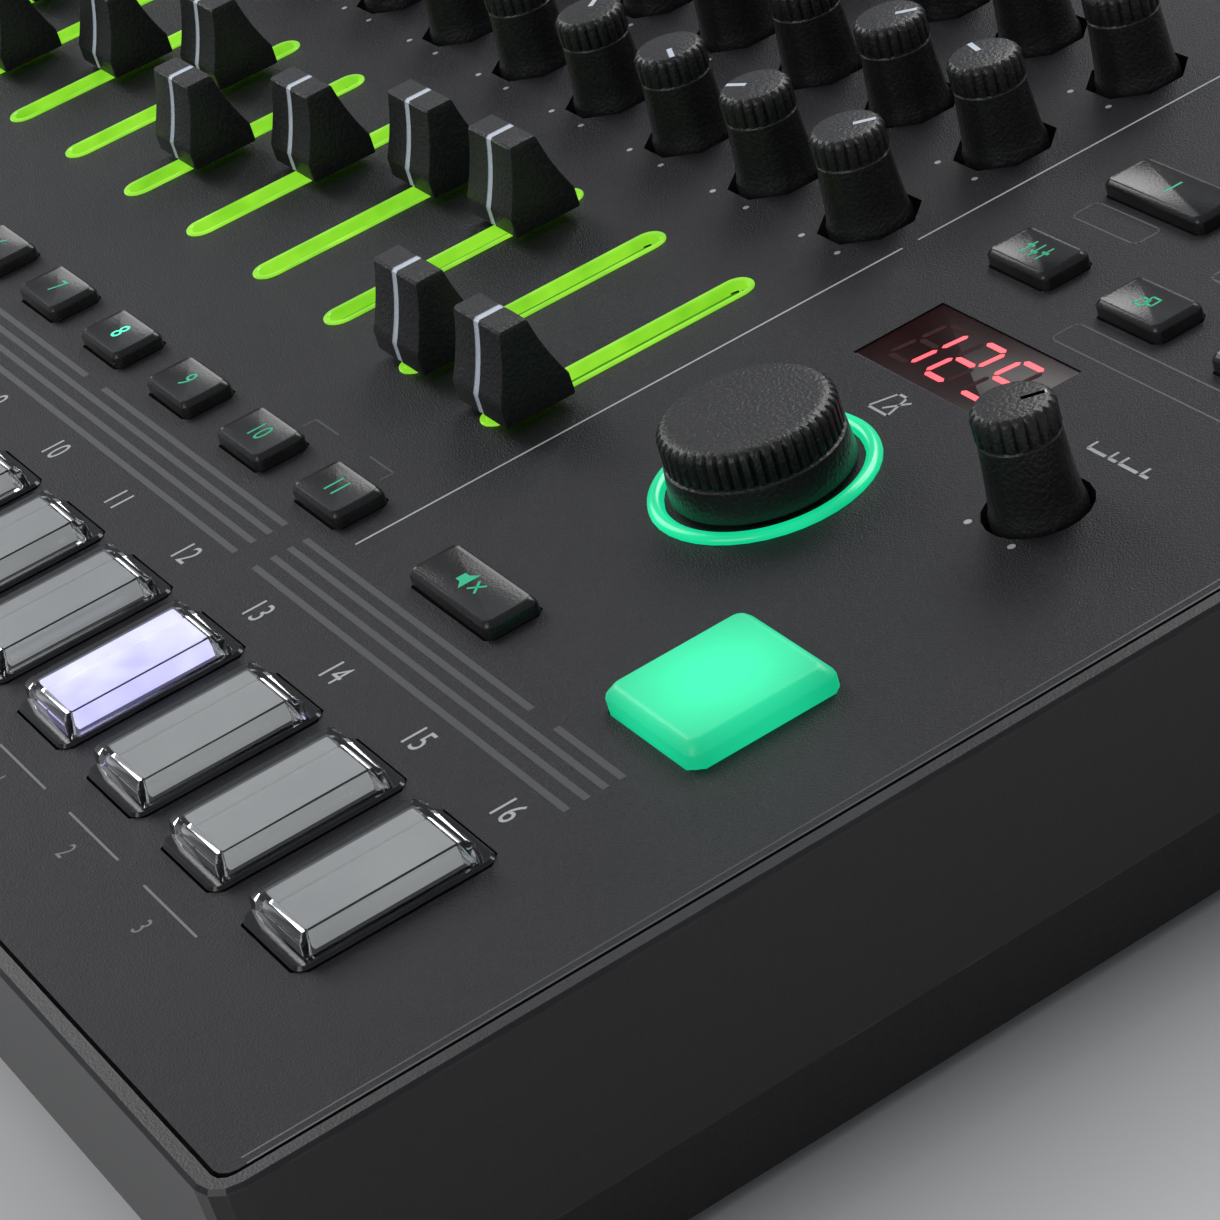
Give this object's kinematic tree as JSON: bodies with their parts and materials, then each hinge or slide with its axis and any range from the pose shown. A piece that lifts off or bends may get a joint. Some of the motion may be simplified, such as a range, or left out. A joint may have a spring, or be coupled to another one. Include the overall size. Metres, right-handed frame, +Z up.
{
  "type": "drum machine",
  "caption": "Table-top drum machine with clear step keys, lit fader slots, ring-lit tempo knob, green instrument pad and red number display.",
  "frame": {"origin": "centre of the footprint, at the bottom of the feet", "axes": "+X to the player's right, +Y to the back (sockets), +Z up"},
  "size_m": [0.409, 0.263, 0.058],
  "materials": {
    "clear_acrylic": "clear",
    "black_key": "satin",
    "black_cap": "fine grain",
    "powder_black": "fine powder coat",
    "satin_black": "satin",
    "moulded_black": "moulded",
    "rubber_black": "matte",
    "zinc_steel": "blackened",
    "green_board": "solder mask",
    "plated_steel": "plated",
    "socket_black": "moulded",
    "lime_guide": "lit",
    "red_window": "tinted",
    "screen_glass": "polished",
    "knob_black": "fine grain",
    "frosted_green": "frosted, lit"
  },
  "bodies": {
    "housing": {"top_panel": "powder_black", "case": "satin_black", "bottom_case": "moulded_black", "feet": "rubber_black", "screws": "zinc_steel", "control_board": "green_board", "potentiometers": "plated_steel", "jack_board": "socket_black", "light_guides": "lime_guide", "display": "red_window", "screen": "screen_glass", "panel_knobs": "knob_black", "menu_keys": "black_key"},
    "step_key_01": {"step_key_01": "clear_acrylic"},
    "step_key_02": {"step_key_02": "clear_acrylic"},
    "step_key_03": {"step_key_03": "clear_acrylic"},
    "step_key_04": {"step_key_04": "clear_acrylic"},
    "step_key_05": {"step_key_05": "clear_acrylic"},
    "step_key_06": {"step_key_06": "clear_acrylic"},
    "step_key_07": {"step_key_07": "clear_acrylic"},
    "step_key_08": {"step_key_08": "clear_acrylic"},
    "step_key_09": {"step_key_09": "clear_acrylic"},
    "step_key_10": {"step_key_10": "clear_acrylic"},
    "step_key_11": {"step_key_11": "clear_acrylic"},
    "step_key_12": {"step_key_12": "clear_acrylic"},
    "step_key_13": {"step_key_13": "clear_acrylic"},
    "step_key_14": {"step_key_14": "clear_acrylic"},
    "step_key_15": {"step_key_15": "clear_acrylic"},
    "step_key_16": {"step_key_16": "clear_acrylic"},
    "select_key_01": {"select_key_01": "black_key"},
    "select_key_02": {"select_key_02": "black_key"},
    "select_key_03": {"select_key_03": "black_key"},
    "select_key_04": {"select_key_04": "black_key"},
    "select_key_05": {"select_key_05": "black_key"},
    "select_key_06": {"select_key_06": "black_key"},
    "select_key_07": {"select_key_07": "black_key"},
    "select_key_08": {"select_key_08": "black_key"},
    "select_key_09": {"select_key_09": "black_key"},
    "select_key_10": {"select_key_10": "black_key"},
    "select_key_11": {"select_key_11": "black_key"},
    "fader_cap_01": {"fader_cap_01": "black_cap"},
    "fader_cap_02": {"fader_cap_02": "black_cap"},
    "fader_cap_03": {"fader_cap_03": "black_cap"},
    "fader_cap_04": {"fader_cap_04": "black_cap"},
    "fader_cap_05": {"fader_cap_05": "black_cap"},
    "fader_cap_06": {"fader_cap_06": "black_cap"},
    "fader_cap_07": {"fader_cap_07": "black_cap"},
    "fader_cap_08": {"fader_cap_08": "black_cap"},
    "fader_cap_09": {"fader_cap_09": "black_cap"},
    "fader_cap_10": {"fader_cap_10": "black_cap"},
    "fader_cap_11": {"fader_cap_11": "black_cap"},
    "instrument_pad": {"instrument_pad": "frosted_green"},
    "mute_key": {"mute_key": "black_key"},
    "menu_key_left": {"menu_key_left": "black_key"},
    "menu_key_right": {"menu_key_right": "black_key"},
    "start_key": {"start_key": "frosted_green"},
    "tempo_knob": {"tempo_knob": "knob_black"},
    "value_knob": {"value_knob": "knob_black"},
    "shuffle_knob": {"shuffle_knob": "knob_black"},
    "power_switch": {"power_switch": "black_key"}
  },
  "joints": [
    {"name": "step_key_01_push", "type": "slide", "parent": "housing", "child": "step_key_01", "axis": [0, 0, -1], "range_m": [0, 0.001], "stiffness_N_per_m": 500, "springref_m": -0.0006},
    {"name": "step_key_02_push", "type": "slide", "parent": "housing", "child": "step_key_02", "axis": [0, 0, -1], "range_m": [0, 0.001], "stiffness_N_per_m": 500, "springref_m": -0.0006},
    {"name": "step_key_03_push", "type": "slide", "parent": "housing", "child": "step_key_03", "axis": [0, 0, -1], "range_m": [0, 0.001], "stiffness_N_per_m": 500, "springref_m": -0.0006},
    {"name": "step_key_04_push", "type": "slide", "parent": "housing", "child": "step_key_04", "axis": [0, 0, -1], "range_m": [0, 0.001], "stiffness_N_per_m": 500, "springref_m": -0.0006},
    {"name": "step_key_05_push", "type": "slide", "parent": "housing", "child": "step_key_05", "axis": [0, 0, -1], "range_m": [0, 0.001], "stiffness_N_per_m": 500, "springref_m": -0.0006},
    {"name": "step_key_06_push", "type": "slide", "parent": "housing", "child": "step_key_06", "axis": [0, 0, -1], "range_m": [0, 0.001], "stiffness_N_per_m": 500, "springref_m": -0.0006},
    {"name": "step_key_07_push", "type": "slide", "parent": "housing", "child": "step_key_07", "axis": [0, 0, -1], "range_m": [0, 0.001], "stiffness_N_per_m": 500, "springref_m": -0.0006},
    {"name": "step_key_08_push", "type": "slide", "parent": "housing", "child": "step_key_08", "axis": [0, 0, -1], "range_m": [0, 0.001], "stiffness_N_per_m": 500, "springref_m": -0.0006},
    {"name": "step_key_09_push", "type": "slide", "parent": "housing", "child": "step_key_09", "axis": [0, 0, -1], "range_m": [0, 0.001], "stiffness_N_per_m": 500, "springref_m": -0.0006},
    {"name": "step_key_10_push", "type": "slide", "parent": "housing", "child": "step_key_10", "axis": [0, 0, -1], "range_m": [0, 0.001], "stiffness_N_per_m": 500, "springref_m": -0.0006},
    {"name": "step_key_11_push", "type": "slide", "parent": "housing", "child": "step_key_11", "axis": [0, 0, -1], "range_m": [0, 0.001], "stiffness_N_per_m": 500, "springref_m": -0.0006},
    {"name": "step_key_12_push", "type": "slide", "parent": "housing", "child": "step_key_12", "axis": [0, 0, -1], "range_m": [0, 0.001], "stiffness_N_per_m": 500, "springref_m": -0.0006},
    {"name": "step_key_13_push", "type": "slide", "parent": "housing", "child": "step_key_13", "axis": [0, 0, -1], "range_m": [0, 0.001], "stiffness_N_per_m": 500, "springref_m": -0.0006},
    {"name": "step_key_14_push", "type": "slide", "parent": "housing", "child": "step_key_14", "axis": [0, 0, -1], "range_m": [0, 0.001], "stiffness_N_per_m": 500, "springref_m": -0.0006},
    {"name": "step_key_15_push", "type": "slide", "parent": "housing", "child": "step_key_15", "axis": [0, 0, -1], "range_m": [0, 0.001], "stiffness_N_per_m": 500, "springref_m": -0.0006},
    {"name": "step_key_16_push", "type": "slide", "parent": "housing", "child": "step_key_16", "axis": [0, 0, -1], "range_m": [0, 0.001], "stiffness_N_per_m": 500, "springref_m": -0.0006},
    {"name": "select_key_01_push", "type": "slide", "parent": "housing", "child": "select_key_01", "axis": [0, 0, -1], "range_m": [0, 0.0004], "stiffness_N_per_m": 900, "springref_m": -0.0006},
    {"name": "select_key_02_push", "type": "slide", "parent": "housing", "child": "select_key_02", "axis": [0, 0, -1], "range_m": [0, 0.0004], "stiffness_N_per_m": 900, "springref_m": -0.0006},
    {"name": "select_key_03_push", "type": "slide", "parent": "housing", "child": "select_key_03", "axis": [0, 0, -1], "range_m": [0, 0.0004], "stiffness_N_per_m": 900, "springref_m": -0.0006},
    {"name": "select_key_04_push", "type": "slide", "parent": "housing", "child": "select_key_04", "axis": [0, 0, -1], "range_m": [0, 0.0004], "stiffness_N_per_m": 900, "springref_m": -0.0006},
    {"name": "select_key_05_push", "type": "slide", "parent": "housing", "child": "select_key_05", "axis": [0, 0, -1], "range_m": [0, 0.0004], "stiffness_N_per_m": 900, "springref_m": -0.0006},
    {"name": "select_key_06_push", "type": "slide", "parent": "housing", "child": "select_key_06", "axis": [0, 0, -1], "range_m": [0, 0.0004], "stiffness_N_per_m": 900, "springref_m": -0.0006},
    {"name": "select_key_07_push", "type": "slide", "parent": "housing", "child": "select_key_07", "axis": [0, 0, -1], "range_m": [0, 0.0004], "stiffness_N_per_m": 900, "springref_m": -0.0006},
    {"name": "select_key_08_push", "type": "slide", "parent": "housing", "child": "select_key_08", "axis": [0, 0, -1], "range_m": [0, 0.0004], "stiffness_N_per_m": 900, "springref_m": -0.0006},
    {"name": "select_key_09_push", "type": "slide", "parent": "housing", "child": "select_key_09", "axis": [0, 0, -1], "range_m": [0, 0.0004], "stiffness_N_per_m": 900, "springref_m": -0.0006},
    {"name": "select_key_10_push", "type": "slide", "parent": "housing", "child": "select_key_10", "axis": [0, 0, -1], "range_m": [0, 0.0004], "stiffness_N_per_m": 900, "springref_m": -0.0006},
    {"name": "select_key_11_push", "type": "slide", "parent": "housing", "child": "select_key_11", "axis": [0, 0, -1], "range_m": [0, 0.0004], "stiffness_N_per_m": 900, "springref_m": -0.0006},
    {"name": "fader_cap_01_slide", "type": "slide", "parent": "housing", "child": "fader_cap_01", "axis": [0, 1, 0], "range_m": [-0.012, 0.018]},
    {"name": "fader_cap_02_slide", "type": "slide", "parent": "housing", "child": "fader_cap_02", "axis": [0, 1, 0], "range_m": [-0.021, 0.009]},
    {"name": "fader_cap_03_slide", "type": "slide", "parent": "housing", "child": "fader_cap_03", "axis": [0, 1, 0], "range_m": [-0.006, 0.024]},
    {"name": "fader_cap_04_slide", "type": "slide", "parent": "housing", "child": "fader_cap_04", "axis": [0, 1, 0], "range_m": [-0.016, 0.014]},
    {"name": "fader_cap_05_slide", "type": "slide", "parent": "housing", "child": "fader_cap_05", "axis": [0, 1, 0], "range_m": [-0.024, 0.006]},
    {"name": "fader_cap_06_slide", "type": "slide", "parent": "housing", "child": "fader_cap_06", "axis": [0, 1, 0], "range_m": [-0.009, 0.021]},
    {"name": "fader_cap_07_slide", "type": "slide", "parent": "housing", "child": "fader_cap_07", "axis": [0, 1, 0], "range_m": [-0.018, 0.012]},
    {"name": "fader_cap_08_slide", "type": "slide", "parent": "housing", "child": "fader_cap_08", "axis": [0, 1, 0], "range_m": [-0.026, 0.004]},
    {"name": "fader_cap_09_slide", "type": "slide", "parent": "housing", "child": "fader_cap_09", "axis": [0, 1, 0], "range_m": [-0.027, 0.003]},
    {"name": "fader_cap_10_slide", "type": "slide", "parent": "housing", "child": "fader_cap_10", "axis": [0, 1, 0], "range_m": [0, 0.03]},
    {"name": "fader_cap_11_slide", "type": "slide", "parent": "housing", "child": "fader_cap_11", "axis": [0, 1, 0], "range_m": [0, 0.03]},
    {"name": "instrument_pad_push", "type": "slide", "parent": "housing", "child": "instrument_pad", "axis": [0, 0, -1], "range_m": [0, 0.0006], "stiffness_N_per_m": 1500, "springref_m": -0.0005},
    {"name": "mute_key_push", "type": "slide", "parent": "housing", "child": "mute_key", "axis": [0, 0, -1], "range_m": [0, 0.0004], "stiffness_N_per_m": 900, "springref_m": -0.0006},
    {"name": "menu_key_left_push", "type": "slide", "parent": "housing", "child": "menu_key_left", "axis": [0, 0, -1], "range_m": [0, 0.0004], "stiffness_N_per_m": 900, "springref_m": -0.0006},
    {"name": "menu_key_right_push", "type": "slide", "parent": "housing", "child": "menu_key_right", "axis": [0, 0, -1], "range_m": [0, 0.0004], "stiffness_N_per_m": 900, "springref_m": -0.0006},
    {"name": "start_key_push", "type": "slide", "parent": "housing", "child": "start_key", "axis": [0, 0, -1], "range_m": [0, 0.0006], "stiffness_N_per_m": 900, "springref_m": -0.0006},
    {"name": "tempo_knob_turn", "type": "hinge", "parent": "housing", "child": "tempo_knob", "pos_m": [0.1376, -0.0234, 0.044], "axis": [0, 0, -1], "continuous": true},
    {"name": "value_knob_turn", "type": "hinge", "parent": "housing", "child": "value_knob", "pos_m": [0.178, 0.084, 0.044], "axis": [0, 0, -1], "continuous": true},
    {"name": "shuffle_knob_turn", "type": "hinge", "parent": "housing", "child": "shuffle_knob", "pos_m": [0.1714, -0.0075, 0.044], "axis": [0, 0, -1], "range_deg": [-150, 150]},
    {"name": "power_switch_slide", "type": "slide", "parent": "housing", "child": "power_switch", "axis": [1, 0, 0], "range_m": [0, 0.0055]}
  ]
}
